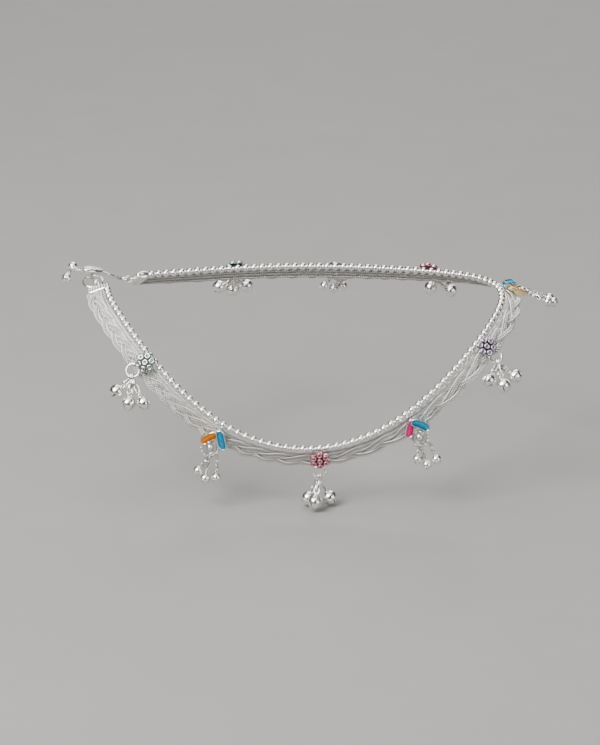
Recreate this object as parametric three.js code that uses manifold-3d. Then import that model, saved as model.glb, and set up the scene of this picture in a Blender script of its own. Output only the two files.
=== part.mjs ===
// A payal: an ankle chain of silver, draped over a rounded support.
// Millimetres, +X along the support, +Y to the back, +Z up.
// The origin lies midway between the two places where the loop crosses the support's ridge.
import * as THREE from "three";
import { mergeVertices } from "three/addons/utils/BufferGeometryUtils.js";
import Module from "manifold-3d";

const wasm = await Module();
wasm.setup();

const CLEARANCE = 0.3; // between neighbouring pieces
const REST_GAP = 0.05; // between the loop and its support

// The unseen support, a long rounded body
const SUPPORT_HALF_LENGTH = 72.8;
const SUPPORT_RADIUS = 30.7;
const RIDGE_HEIGHT = 22.3; // of the origin above the support's middle

// The loop's route round the support. Angles are 0 at the support's front and 90 at its crown.
const LOOP_REACH = 50.8;
const LOOP_SHIFT = 1.1;
const FRONT_ANGLE = -16;
const BACK_ANGLE = 139.7;
const SIDE_ANGLE = 87.4;
const SIDE_SKEW = -3.9;
const QUARTER_BEND = -4.2; // turns the quarters of the loop, and leaves its front, back and sides
const QUARTER_SKEW = -2.1;
const ROUTE_STEPS = 2400;

// The bead strand
const BEAD_DIAMETER = 1.75;
const BEAD_PITCH = 2.15;
const STRAND_WIRE = 0.6;
const BEAD_SIDES = 10;
const BEAD_RING_SHARE = 0.46; // where a bead's two rings of corners lie, as a share of its radius

// The woven band of fine chains
const BAND_WIDTH = 4.3;
const BAND_THICKNESS = 1.3;
const BAND_EDGE = 0.75;
const SCALLOP_LENGTH = 6.72;
const SCALLOP_DEPTH = 0.7;
const SCALLOP_STEPS = 3;

// The end caps and the clasp
const CLASP_LENGTH = 20;
const CAP_LENGTH = 2.8;
const CAP_THICKNESS = 1.9;
const CAP_TAPER = 0.8;
const EYE_DIAMETER = 1.7;
const EYE_WIRE = 0.44;
const EYE_NECK = 0.8;
const NECK_WIRE = 0.66;
const CLASP_SWAY_SHARE = 0.9; // how far the ring leans to the band's outer side
const CLASP_RISE_SHARE = 0.6; // and how far it stands up from the support
const CLASP_RING_DIAMETER = 4.9;
const CLASP_RING_WIRE = 0.7;
const PLATE_LENGTH = 6.4;
const PLATE_WIDTH = 3.8;
const PLATE_THICKNESS = 0.9;
const PLATE_LIFT = 1.4; // above the ring's rim
const PLATE_SIDES = 14;
const PLATE_FACE_SHARE = 0.86; // how far the flat of the plate reaches
const HOOK_DIAMETER = 2.6;
const HOOK_WIRE = 0.6;
const CLASP_LINK_LENGTH = 3.6;
const CLASP_LINK_WIDTH = 2;
const CLASP_LINK_WIRE = 0.5;

// The flower medallions, their jump rings and bells
const CENTRE_FLOWER_SHIFT = 3.7; // along the route from the lowest point of the swag
const BEADS_TO_FIRST_FLOWER = 14;
const BEADS_PER_FLOWER = 23.4;
const BEADS_TO_CHARM = 11.3; // from the flower before it
const FLOWER_DIAMETER = 5.2;
const FLOWER_THICKNESS = 0.8;
const FLOWER_DOME = 0.35;
const FLOWER_SEAT = 1.6;
const PETALS = 6;
const PETAL_DEPTH = 0.35;
const PETAL_POINTS = 2; // corners of the outline on each petal
const DOME_SHOULDER_SHARE = 0.5;
const RING_DIAMETER = 3.4;
const RING_WIRE = 0.55;
const BELL_DIAMETER = 3.65;
const BELL_NECK = 0.5;
const BELL_DROP = 5.6; // from the jump ring to the bells
const LINK_DIAMETER = 1.55;
const LINK_WIRE = 0.4;
const LEG_WIRE = 0.6;

// How finely the round wires are cut
const RING_STEPS = 12;
const SMALL_RING_STEPS = 10;
const LINK_STEPS = 8;
const WIRE_SIDES = 5;
const ROD_SIDES = 5;
const BELL_RING_SHARES = [0.3, 0.55, 0.8]; // where a bell's rings of corners lie, from top to tip

// The paisley charms
const CHARM_DROP = 1.75; // from the bead line to the corner where the arms meet
const CHARM_THICKNESS = 0.9;
const ARM_LENGTH = 4.9;
const ARM_WIDTH = 1.75;
const OUTER_ARM_ANGLE = 118; // from the run of the band, towards the drop
const INNER_ARM_ANGLE = 44;
const TEARDROP_DIAMETER = 4.8;
const TEARDROP_HEIGHT = 1.5;
const TEARDROP_POINT = 1.4; // the tip's distance from the middle, as a share of the diameter's half
const TEARDROP_REACH = 5.1; // from the corner to the teardrop's middle
const TEARDROP_ANGLE = 80;
const TEARDROP_SIDES = 12;
const TEARDROP_TIP_POWER = 6; // a higher power makes a narrower tip
const TEARDROP_SHOULDER_SHARE = 0.7;
const TEARDROP_SHOULDER_HEIGHT = 1.275;
const ARM_CURVE_STEPS = 4;
const SMALL_BELL_DIAMETER = 2.45;
const SMALL_BELL_NECK = 0.35;
const SMALL_BELL_DROP = 4.6;
const SMALL_LEG_WIRE = 0.44;

// Where the bells of a drop hang: side and out in bell pitches, down as a share of the drop.
// A flower lies that far below the bead line, and its ring below it and to its side.
const MIDDLE_DROP = {
  flower: 2.25,
  ring: 4.5,
  ringSide: -0.5,
  bells: [
    { name: "left", side: -0.69, down: 1.04, out: 0 },
    { name: "mid", side: -0.31, down: 0.97, out: 0.88 },
    { name: "right", side: 0.69, down: 1.01, out: 0 },
  ],
};
const LEFT_DROP = {
  flower: 1.6,
  ring: 3.9,
  ringSide: -0.9,
  bells: [
    { name: "left", side: -0.89, down: 0.73, out: 0 },
    { name: "mid", side: 0.01, down: 1.21, out: 0 },
    { name: "right", side: 1.02, down: 1.12, out: 0 },
  ],
};
const RIGHT_DROP = {
  flower: 2.3,
  ring: 3.4,
  ringSide: 0,
  bells: [
    { name: "left", side: -0.87, down: 0.75, out: 0 },
    { name: "mid", side: 0.04, down: 1.1, out: 0 },
    { name: "right", side: 0.99, down: 0.76, out: 0 },
  ],
};
const LEFT_CHARM_BELLS = [
  { name: "left", side: -1.14, down: 0.84, out: 0 },
  { name: "mid", side: -0.49, down: 1.3, out: 0 },
  { name: "right", side: 0.54, down: 1.21, out: 0 },
];
const RIGHT_CHARM_BELLS = [
  { name: "left", side: -0.18, down: 0.72, out: 0 },
  { name: "mid", side: 0.72, down: 1.08, out: 0 },
  { name: "right", side: 1.62, down: 0.79, out: 0 },
];
// From the middle of the clasp's open link, along the plate, across it and away from the support
const CLASP_BELLS = [
  { name: "left", along: -4.1, across: -1.2, out: -3 },
  { name: "right", along: 3.6, across: 5.8, out: 2.2 },
];

const silver = metal(0xd8d5ce, 0.25);
const wovenSilver = metal(0xb9b5ad, 0.45);
const [green, crimson, violet, charmBlue] = [0x1d4a45, 0xb02a4e, 0x43305e, 0x1f6f8c].map(enamel);

const bandTop = BEAD_DIAMETER / 2 + CLEARANCE;
const beadLift = BEAD_DIAMETER / 2 + REST_GAP;
const bandOut = BAND_THICKNESS / 2 + REST_GAP - beadLift; // the band's middle from the bead line
const bandFace = bandOut + BAND_THICKNESS / 2;
const ringOut = bandFace + CLEARANCE + RING_WIRE / 2;
const flowerOut = Math.max(ringOut + RING_WIRE / 2, BEAD_DIAMETER / 2) + CLEARANCE;
const charmOut = bandFace + CLEARANCE;
const route = measuredRoute();
const beadCount = Math.round((route.length - CLASP_LENGTH) / BEAD_PITCH);
const strandStart = CENTRE_FLOWER_SHIFT - (BEADS_TO_FIRST_FLOWER + BEADS_PER_FLOWER) * BEAD_PITCH;
const strandEnd = strandStart + beadCount * BEAD_PITCH;
const root = new THREE.Group();

function metal(color, roughness) {
  return new THREE.MeshStandardMaterial({ color, roughness, metalness: 1 });
}

function enamel(color) {
  return new THREE.MeshStandardMaterial({ color, roughness: 0.3, metalness: 0.2 });
}

function mix(...terms) {
  const sum = new THREE.Vector3();
  for (const [vector, amount] of terms) sum.addScaledVector(vector, amount);
  return sum;
}

// The bead line round the support, at an angle of travel that is 0 at the front's lowest point.
function routePoint(travel) {
  const middle = (FRONT_ANGLE + BACK_ANGLE) / 2;
  const swing = (BACK_ANGLE - FRONT_ANGLE) / 2;
  const sine = Math.sin(travel);
  const degrees =
    middle -
    swing * Math.cos(travel) +
    (SIDE_ANGLE - middle) * sine * sine +
    SIDE_SKEW * sine +
    (QUARTER_BEND * sine + QUARTER_SKEW) * sine * (sine * sine - 1);
  const angle = THREE.MathUtils.degToRad(degrees);
  const x = LOOP_SHIFT + LOOP_REACH * sine;
  const radius = SUPPORT_RADIUS * Math.sqrt(1 - (x / SUPPORT_HALF_LENGTH) ** 2) + beadLift;
  return new THREE.Vector3(x, -radius * Math.cos(angle), radius * Math.sin(angle) - RIDGE_HEIGHT);
}

function measuredRoute() {
  const distances = [0];
  for (let i = 1; i <= ROUTE_STEPS; i++) {
    const step = routePoint(travelAt(i)).distanceTo(routePoint(travelAt(i - 1)));
    distances.push(distances[i - 1] + step);
  }
  return { distances, length: distances[ROUTE_STEPS] };
}

function travelAt(step) {
  return (2 * Math.PI * step) / ROUTE_STEPS;
}

// The place and directions at a distance along the bead line from the swag's lowest point.
function frameAt(distance) {
  const wrapped = ((distance % route.length) + route.length) % route.length;
  const after = Math.max(1, route.distances.findIndex((d) => d >= wrapped));
  const [low, high] = [route.distances[after - 1], route.distances[after]];
  const travel = travelAt(after - 1 + (wrapped - low) / (high - low));
  const point = routePoint(travel);
  const ahead = routePoint(travel + travelAt(1));
  const behind = routePoint(travel - travelAt(1));
  const along = ahead.sub(behind).normalize();
  const out = new THREE.Vector3(
    point.x / SUPPORT_HALF_LENGTH ** 2,
    point.y / SUPPORT_RADIUS ** 2,
    (point.z + RIDGE_HEIGHT) / SUPPORT_RADIUS ** 2,
  );
  out.addScaledVector(along, -out.dot(along)).normalize();
  return { point, along, out, up: out.clone().cross(along) };
}

// The directions in which a drop hangs: straight down, or down the support where that faces up.
function hangingFrame(out) {
  const gravity = new THREE.Vector3(0, 0, -1);
  const down = gravity.clone();
  if (out.z > 0) down.addScaledVector(out, -gravity.dot(out)).normalize();
  const outward = out.clone().addScaledVector(down, -out.dot(down)).normalize();
  return { side: outward.clone().cross(down), up: down.clone().negate(), down, out: outward };
}

function groupAt(point, x, y, z) {
  const group = new THREE.Group();
  group.applyMatrix4(new THREE.Matrix4().makeBasis(x, y, z).setPosition(point));
  root.add(group);
  return group;
}

function addMesh(parent, name, geometry, material, x = 0, y = 0, z = 0) {
  const mesh = new THREE.Mesh(geometry, material);
  mesh.name = name;
  mesh.position.set(x, y, z);
  parent.add(mesh);
  return mesh;
}

// A closed skin over rings of points. A ring of one point is a tip.
function skin(rings) {
  const starts = rings.map((_, i) => rings.slice(0, i).reduce((sum, ring) => sum + ring.length, 0));
  const sides = Math.max(...rings.map((ring) => ring.length));
  const corner = (i, j) => starts[i] + (j % rings[i].length);
  const index = [];
  for (let i = 0; i < rings.length - 1; i++) {
    for (let j = 0; j < sides; j++) {
      const [a, b] = [corner(i, j), corner(i, j + 1)];
      const [c, d] = [corner(i + 1, j), corner(i + 1, j + 1)];
      if (a !== b) index.push(a, b, d);
      if (c !== d) index.push(a, d, c);
    }
  }
  const last = rings.length - 1;
  for (let j = 1; j < rings[0].length - 1; j++) index.push(0, j + 1, j);
  for (let j = 1; j < rings[last].length - 1; j++) {
    index.push(starts[last], starts[last] + j, starts[last] + j + 1);
  }
  const geometry = new THREE.BufferGeometry();
  const positions = rings.flat().flatMap((p) => [p.x, p.y, p.z]);
  geometry.setAttribute("position", new THREE.Float32BufferAttribute(positions, 3));
  geometry.setIndex(index);
  return geometry;
}

function circle(centre, u, v, radius, sides) {
  return Array.from({ length: sides }, (_, i) => {
    const angle = (2 * Math.PI * i) / sides;
    return centre.clone().add(mix([u, radius * Math.cos(angle)], [v, radius * Math.sin(angle)]));
  });
}

function rod(from, to, diameter, sides) {
  const axis = to.clone().sub(from).normalize();
  const u = new THREE.Vector3(0, 0, 1).cross(axis).normalize();
  const v = axis.clone().cross(u);
  return skin([from, to].map((end) => circle(end, u, v, diameter / 2, sides)));
}

function wireRing(diameter, wire, segments) {
  return new THREE.TorusGeometry(diameter / 2, wire / 2, WIRE_SIDES, segments);
}

function fused(...geometries) {
  const solids = geometries.map((geometry) => {
    const bare = new THREE.BufferGeometry();
    bare.setAttribute("position", geometry.getAttribute("position"));
    bare.setIndex(geometry.getIndex());
    const merged = mergeVertices(bare);
    return new wasm.Manifold(
      new wasm.Mesh({
        numProp: 3,
        vertProperties: merged.getAttribute("position").array,
        triVerts: new Uint32Array(merged.getIndex().array),
      }),
    );
  });
  const mesh = solids.reduce((whole, solid) => whole.add(solid)).getMesh();
  const geometry = new THREE.BufferGeometry();
  geometry.setAttribute("position", new THREE.BufferAttribute(mesh.vertProperties, 3));
  geometry.setIndex(new THREE.BufferAttribute(mesh.triVerts, 1));
  return geometry;
}

function addBeadStrand() {
  const radius = BEAD_DIAMETER / 2;
  const ring = (distance, size) => {
    const { point, up, out } = frameAt(distance);
    return circle(point, up, out, size, BEAD_SIDES);
  };
  const ringRadius = radius * Math.sqrt(1 - BEAD_RING_SHARE ** 2);
  const rings = [ring(strandStart, STRAND_WIRE / 2)];
  for (let i = 0; i < beadCount; i++) {
    const middle = strandStart + (i + 0.5) * BEAD_PITCH;
    rings.push(ring(middle - radius * BEAD_RING_SHARE, ringRadius));
    rings.push(ring(middle + radius * BEAD_RING_SHARE, ringRadius));
    rings.push(ring(middle + BEAD_PITCH / 2, STRAND_WIRE / 2));
  }
  addMesh(root, "bead_strand", skin(rings), silver);
}

// The band's lower edge swells between the stations and draws in at each of them.
function bandDepth(distance) {
  const phase = (distance - CENTRE_FLOWER_SHIFT) / SCALLOP_LENGTH;
  return bandTop + BAND_WIDTH - SCALLOP_DEPTH * (1 - Math.abs(Math.sin(Math.PI * phase)));
}

function addWovenBand() {
  const steps = Math.round(((strandEnd - strandStart) * SCALLOP_STEPS) / SCALLOP_LENGTH);
  const half = BAND_THICKNESS / 2;
  const rings = Array.from({ length: steps + 1 }, (_, i) => {
    const distance = THREE.MathUtils.lerp(strandStart, strandEnd, i / steps);
    const { point, up, out } = frameAt(distance);
    const depth = bandDepth(distance);
    const corners = [
      [bandTop, 0],
      [bandTop + BAND_EDGE, half],
      [depth - BAND_EDGE, half],
      [depth, 0],
      [depth - BAND_EDGE, -half],
      [bandTop + BAND_EDGE, -half],
    ];
    return corners.map(([down, lift]) => point.clone().add(mix([up, -down], [out, bandOut + lift])));
  });
  addMesh(root, "woven_band", skin(rings), wovenSilver);
}

function capGeometry() {
  const top = BEAD_DIAMETER / 4;
  const bottom = SCALLOP_DEPTH / 2 - bandTop - BAND_WIDTH;
  const middle = (top + bottom) / 2;
  const half = (top - bottom) / 2;
  const section = (x, shrink) => {
    const [tall, thick] = [half - shrink, CAP_THICKNESS / 2 - shrink / 2];
    const bevel = thick / 2;
    const corners = [
      [tall, -thick + bevel],
      [tall, thick - bevel],
      [tall - bevel, thick],
      [-tall + bevel, thick],
      [-tall, thick - bevel],
      [-tall, -thick + bevel],
      [-tall + bevel, -thick],
      [tall - bevel, -thick],
    ];
    return corners.map(([y, z]) => new THREE.Vector3(x, middle + y, z));
  };
  const shoulder = CAP_LENGTH - CAP_TAPER;
  const neckEnd = CAP_LENGTH + EYE_NECK;
  const eyeX = neckEnd + (EYE_DIAMETER - EYE_WIRE) / 2;
  const eye = wireRing(EYE_DIAMETER, EYE_WIRE, SMALL_RING_STEPS);
  eye.rotateX(Math.PI / 2);
  eye.translate(eyeX, middle, 0);
  const neckStart = new THREE.Vector3(shoulder, middle, 0);
  const neck = rod(neckStart, new THREE.Vector3(neckEnd, middle, 0), NECK_WIRE, ROD_SIDES);
  const body = skin([section(0, 0), section(shoulder, 0), section(CAP_LENGTH, CAP_TAPER)]);
  return { geometry: fused(body, neck, eye), eyeX, eyeY: middle };
}

// An end cap, and where the middle of its eye is.
function addCap(name, distance, direction) {
  const { point, along, up, out } = frameAt(distance + direction * CLEARANCE);
  const x = along.clone().multiplyScalar(direction);
  const z = out.clone().multiplyScalar(direction);
  const { geometry, eyeX, eyeY } = capGeometry();
  const lift = CAP_THICKNESS / 2 + REST_GAP - beadLift;
  const origin = point.clone().addScaledVector(out, lift);
  addMesh(groupAt(origin, x, up, z), name, geometry, silver);
  return { eye: origin.clone().add(mix([x, eyeX], [up, eyeY])), x, up, out };
}

function ovalPlate() {
  const ring = (share, z) =>
    circle(
      new THREE.Vector3(0, 0, z),
      new THREE.Vector3(PLATE_LENGTH / 2, 0, 0),
      new THREE.Vector3(0, PLATE_WIDTH / 2, 0),
      share,
      PLATE_SIDES,
    );
  const [edge, half] = [PLATE_FACE_SHARE, PLATE_THICKNESS / 2];
  return skin([ring(edge, -half), ring(1, -half / 2), ring(1, half / 2), ring(edge, half)]);
}

// The ring, the plate with its hook, and the bells that close the loop between the two caps
function addClasp() {
  const first = addCap("end_cap_a", strandStart, -1);
  const second = addCap("end_cap_b", strandEnd, 1);
  const outward = mix(
    [first.x, 1],
    [first.up, -CLASP_SWAY_SHARE],
    [first.out, CLASP_RISE_SHARE],
  ).normalize();
  const ringMiddle = first.eye.clone().addScaledVector(outward, CLASP_RING_DIAMETER / 2);
  const ringSide = first.out.clone().cross(outward).normalize();
  const ringNormal = outward.clone().cross(ringSide);
  const ring = wireRing(CLASP_RING_DIAMETER, CLASP_RING_WIRE, RING_STEPS);
  addMesh(groupAt(ringMiddle, outward, ringSide, ringNormal), "clasp_ring", ring, silver);

  const away = mix([first.x, 1], [ringNormal, -first.x.dot(ringNormal)]).normalize();
  const near = ringMiddle.clone().addScaledVector(away, CLASP_RING_DIAMETER / 2);
  const x = second.eye.clone().sub(near).normalize();
  const out = mix([first.out, 1], [second.out, 1]);
  out.addScaledVector(x, -out.dot(x)).normalize();
  const across = out.clone().cross(x);
  const clasp = groupAt(near, x, across, out);
  addMesh(clasp, "clasp_plate", plateGeometry(near.distanceTo(second.eye)), silver);

  const linkX = -(PLATE_LENGTH + CLASP_LINK_LENGTH + CLASP_LINK_WIRE) / 2 - CLEARANCE;
  const linkMiddle = near.clone().add(mix([x, linkX], [out, PLATE_LIFT]));
  addClaspBells(linkMiddle, x, across, out);
}

// The oval plate over the ring's rim, with the eye below it and the hook that reaches the other cap
function plateGeometry(span) {
  const eye = wireRing(EYE_DIAMETER, EYE_WIRE, SMALL_RING_STEPS);
  eye.rotateY(Math.PI / 2);
  const plate = ovalPlate();
  plate.translate(0, 0, PLATE_LIFT);
  const hook = wireRing(HOOK_DIAMETER, HOOK_WIRE, SMALL_RING_STEPS);
  const hookMiddle = span - HOOK_DIAMETER / 2;
  hook.translate(hookMiddle, 0, 0);
  const shankStart = new THREE.Vector3(PLATE_LENGTH / 2 - PLATE_THICKNESS, 0, PLATE_LIFT);
  const shankEnd = new THREE.Vector3(hookMiddle - HOOK_DIAMETER / 2, 0, 0);
  return fused(eye, plate, rod(shankStart, shankEnd, HOOK_WIRE, ROD_SIDES), hook);
}

// The open link at the plate's far end, with two small bells on short chains, plain rods here
function addClaspBells(middle, x, y, z) {
  const link = wireRing(CLASP_LINK_WIDTH, CLASP_LINK_WIRE, SMALL_RING_STEPS);
  link.scale(CLASP_LINK_LENGTH / CLASP_LINK_WIDTH, 1, 1);
  const pieces = [link];
  for (const spot of CLASP_BELLS) {
    const centre = new THREE.Vector3(spot.along, spot.across, spot.out);
    const rim = new THREE.Vector3(
      Math.sign(spot.along) * (spot.across > 0 ? 0 : CLASP_LINK_LENGTH / 2),
      spot.across > 0 ? CLASP_LINK_WIDTH / 2 : 0,
      0,
    );
    const towards = rim.clone().sub(centre).normalize();
    const reach = SMALL_BELL_DIAMETER / 2 + SMALL_BELL_NECK + CLEARANCE;
    const top = centre.clone().addScaledVector(towards, reach);
    pieces.push(rod(rim, top, SMALL_LEG_WIRE, ROD_SIDES));
    const toWorld = (v) => mix([x, v.x], [y, v.y], [z, v.z]);
    const up = toWorld(towards);
    const side = up.clone().cross(z).normalize();
    const bell = groupAt(middle.clone().add(toWorld(centre)), side, up, side.clone().cross(up));
    addMesh(bell, "clasp_bell_" + spot.name, bellGeometry(smallBells), silver);
  }
  addMesh(groupAt(middle, x, y, z), "clasp_links", fused(...pieces), silver);
}

// A round bell with its neck, hanging below the origin of its own frame, from its tip downwards
function bellGeometry(kind) {
  const radius = kind.diameter / 2;
  const steps = BELL_RING_SHARES.map((share) => {
    const angle = Math.PI * share;
    return new THREE.Vector2(radius * Math.sin(angle), radius * Math.cos(angle));
  });
  const neck = [new THREE.Vector2(kind.neck / 2, radius), new THREE.Vector2(0, radius + kind.neck)];
  const profile = [new THREE.Vector2(0, -radius), ...steps.reverse(), ...neck];
  return new THREE.LatheGeometry(profile, BEAD_SIDES);
}

// Bells on short chains that meet at one link. The chains are plain rods here.
function addBells(name, anchor, hanging, spots, kind, link = null) {
  const drop = groupAt(anchor, hanging.side, hanging.up, hanging.out);
  const pitch = kind.diameter + CLEARANCE;
  const legs = link ? [link] : [];
  for (const spot of spots) {
    const x = spot.side * pitch;
    const y = -spot.down * kind.drop;
    const z = spot.out * pitch;
    const top = new THREE.Vector3(x, y + kind.diameter / 2 + kind.neck + CLEARANCE, z);
    const start = new THREE.Vector3(0, link ? -LINK_DIAMETER / 2 : 0, 0);
    legs.push(rod(start, top, kind.legWire, ROD_SIDES));
    addMesh(drop, name + "_bell_" + spot.name, bellGeometry(kind), silver, x, y, z);
  }
  addMesh(drop, name + "_links", fused(...legs), silver);
}

const largeBells = { diameter: BELL_DIAMETER, neck: BELL_NECK, drop: BELL_DROP, legWire: LEG_WIRE };
const smallBells = {
  diameter: SMALL_BELL_DIAMETER,
  neck: SMALL_BELL_NECK,
  drop: SMALL_BELL_DROP,
  legWire: SMALL_LEG_WIRE,
};

function flowerGeometry() {
  const points = PETALS * PETAL_POINTS;
  const radius = FLOWER_DIAMETER / 2;
  const outline = (share, z) =>
    Array.from({ length: points }, (_, i) => {
      const angle = (2 * Math.PI * i) / points;
      const lobe = PETAL_DEPTH * (1 - Math.abs(Math.cos((PETALS * angle) / 2)));
      const reach = (radius - lobe) * share;
      return new THREE.Vector3(reach * Math.cos(angle), reach * Math.sin(angle), z);
    });
  const seat = flowerOut - bandFace - CLEARANCE;
  const seatShare = FLOWER_SEAT / FLOWER_DIAMETER;
  return skin([
    outline(seatShare, -seat),
    outline(seatShare, 0),
    outline(1, 0),
    outline(1, FLOWER_THICKNESS),
    outline(DOME_SHOULDER_SHARE, FLOWER_THICKNESS + FLOWER_DOME / 3),
    [new THREE.Vector3(0, 0, FLOWER_THICKNESS + FLOWER_DOME)],
  ]);
}

function addFlower(number, distance, material, drop) {
  const { point, along, up, out } = frameAt(distance);
  const name = "flower_" + number;
  const station = groupAt(point, along, up, out);
  addMesh(station, name, flowerGeometry(), material, 0, -drop.flower, flowerOut);

  const hanging = hangingFrame(out);
  const down = hanging.down.clone().addScaledVector(out, -hanging.down.dot(out)).normalize();
  const middle = point
    .clone()
    .add(mix([along, drop.ringSide], [up, -drop.flower - drop.ring], [out, ringOut]));
  const ringUp = down.clone().negate();
  const ringGroup = groupAt(middle, ringUp.clone().cross(out), ringUp, out);
  addMesh(ringGroup, name + "_ring", wireRing(RING_DIAMETER, RING_WIRE, RING_STEPS), silver);

  const anchor = middle.clone().addScaledVector(down, RING_DIAMETER / 2);
  const link = wireRing(LINK_DIAMETER, LINK_WIRE, LINK_STEPS);
  link.rotateY(Math.PI / 2);
  addBells(name, anchor, hanging, drop.bells, largeBells, link);
}

function teardropRing(share, z) {
  const radius = (TEARDROP_DIAMETER / 2) * share;
  return Array.from({ length: TEARDROP_SIDES }, (_, i) => {
    const angle = (2 * Math.PI * i) / TEARDROP_SIDES;
    const tip = Math.max(0, Math.cos(angle)) ** TEARDROP_TIP_POWER;
    const reach = radius * (1 + (TEARDROP_POINT - 1) * tip);
    return new THREE.Vector3(reach * Math.cos(angle), reach * Math.sin(angle), z);
  });
}

function armGeometry(angle) {
  const radius = ARM_WIDTH / 2;
  const outline = new THREE.Shape();
  outline.absarc(0, 0, radius, Math.PI / 2, (3 * Math.PI) / 2, false);
  outline.absarc(ARM_LENGTH - radius, 0, radius, -Math.PI / 2, Math.PI / 2, false);
  const arm = new THREE.ExtrudeGeometry(outline, {
    depth: CHARM_THICKNESS,
    bevelEnabled: false,
    curveSegments: ARM_CURVE_STEPS,
  });
  return arm.rotateZ(-angle);
}

// Two arms that meet in a corner, with a domed teardrop between them
function charmGeometry(mirror) {
  const turn = (degrees) => THREE.MathUtils.degToRad(mirror > 0 ? degrees : 180 - degrees);
  const angle = turn(TEARDROP_ANGLE);
  const teardrop = skin([
    teardropRing(1, 0),
    teardropRing(1, CHARM_THICKNESS / 2),
    teardropRing(TEARDROP_SHOULDER_SHARE, TEARDROP_SHOULDER_HEIGHT),
    [new THREE.Vector3(0, 0, TEARDROP_HEIGHT)],
  ]);
  teardrop.rotateZ(Math.PI - angle);
  teardrop.translate(TEARDROP_REACH * Math.cos(angle), -TEARDROP_REACH * Math.sin(angle), 0);
  return fused(armGeometry(turn(OUTER_ARM_ANGLE)), armGeometry(turn(INNER_ARM_ANGLE)), teardrop);
}

function addCharm(number, distance, material, mirror) {
  const { point, along, up, out } = frameAt(distance);
  const name = "paisley_" + number;
  const station = groupAt(point, along, up, out);
  addMesh(station, name, charmGeometry(mirror), material, 0, -CHARM_DROP, charmOut);

  const angle = THREE.MathUtils.degToRad(TEARDROP_ANGLE);
  const hanging = hangingFrame(out);
  const across = mirror * TEARDROP_REACH * Math.cos(angle);
  const below = CHARM_DROP + TEARDROP_REACH * Math.sin(angle);
  const anchor = point.clone().add(
    mix(
      [along, across],
      [up, -below],
      [out, charmOut + CHARM_THICKNESS / 2],
      [hanging.down, TEARDROP_DIAMETER / 2 + CLEARANCE],
    ),
  );
  const spots = mirror > 0 ? LEFT_CHARM_BELLS : RIGHT_CHARM_BELLS;
  addBells(name, anchor, hanging, spots, smallBells);
}

// Flowers and paisley charms take turns along the loop, with a flower near the swag's middle.
function addStations() {
  const flowers = Math.floor((beadCount - BEADS_TO_FIRST_FLOWER) / BEADS_PER_FLOWER) + 1;
  for (let number = 1; number <= flowers; number++) {
    const beads = BEADS_TO_FIRST_FLOWER + (number - 1) * BEADS_PER_FLOWER;
    const distance = strandStart + beads * BEAD_PITCH;
    if (number % 2 === 0) addFlower(number, distance, crimson, MIDDLE_DROP);
    else if (number === 3) addFlower(number, distance, violet, RIGHT_DROP);
    else addFlower(number, distance, green, number === 1 ? LEFT_DROP : RIGHT_DROP);
    const mirror = number % 2 === 1 ? 1 : -1;
    if (number < flowers) addCharm(number, distance + BEADS_TO_CHARM * BEAD_PITCH, charmBlue, mirror);
  }
}

addBeadStrand();
addWovenBand();
addClasp();
addStations();

export default root;
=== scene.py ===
# A payal, an ankle chain of silver, as it lies over a rounded support that isn't part of it.
# Pieces are modelled in millimetres, +X along the support, +Y to the back, +Z up, and finished in metres.
import math
import random
from bisect import bisect_left

import bmesh
import bpy
from mathutils import Matrix, Vector


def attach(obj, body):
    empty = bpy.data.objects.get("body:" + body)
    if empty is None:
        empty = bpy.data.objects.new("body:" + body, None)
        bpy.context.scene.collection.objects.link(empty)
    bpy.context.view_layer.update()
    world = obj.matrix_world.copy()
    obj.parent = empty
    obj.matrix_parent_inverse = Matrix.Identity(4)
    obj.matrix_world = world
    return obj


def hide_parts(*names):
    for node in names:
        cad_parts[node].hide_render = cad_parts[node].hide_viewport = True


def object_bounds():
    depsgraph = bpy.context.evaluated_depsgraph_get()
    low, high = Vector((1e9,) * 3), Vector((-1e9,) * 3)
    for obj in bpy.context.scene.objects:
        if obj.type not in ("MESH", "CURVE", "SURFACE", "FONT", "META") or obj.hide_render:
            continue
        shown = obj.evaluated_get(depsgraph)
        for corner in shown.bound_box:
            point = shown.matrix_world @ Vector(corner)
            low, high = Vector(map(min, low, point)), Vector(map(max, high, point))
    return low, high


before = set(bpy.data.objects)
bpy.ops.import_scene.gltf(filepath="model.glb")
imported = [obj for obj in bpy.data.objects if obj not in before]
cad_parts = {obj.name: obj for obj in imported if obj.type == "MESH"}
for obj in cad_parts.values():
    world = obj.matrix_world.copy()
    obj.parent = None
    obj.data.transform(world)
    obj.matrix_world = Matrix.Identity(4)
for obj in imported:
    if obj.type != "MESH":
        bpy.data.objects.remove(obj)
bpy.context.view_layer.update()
fullTurn = 2 * math.pi
dice = random.Random(7)

# The loop's route, the same as the solids follow. Angles are 0 at the support's front.
route = {
    "halfLength": 72.8,
    "radius": 30.7,
    "ridgeHeight": 22.3,
    "reach": 50.8,
    "shift": 1.1,
    "frontAngle": -16,
    "backAngle": 139.7,
    "sideAngle": 87.4,
    "sideSkew": -3.9,
    "quarterBend": -4.2,
    "quarterSkew": -2.1,
    "steps": 2400,
    "restGap": 0.05,
    "clearance": 0.3,
    "claspLength": 20,
    "centreShift": 3.7,
    "firstFlower": 14,       # in beads from the strand's start
    "flowerBeads": 23.4,
    "charmBeads": 11.3,
}
strand = {
    "beadDiameter": 1.75,
    "beadPitch": 2.15,
    "swell": 1.1,            # the beads' own size against the solid's
    "linkDiameter": 0.98,
    "pinDiameter": 0.44,
    "pinOverlap": 1.02,
    "unevenness": 0.02,
    "segments": 20,
    "rings": 14,
}
beadLift = strand["beadDiameter"] / 2 + route["restGap"]


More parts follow.
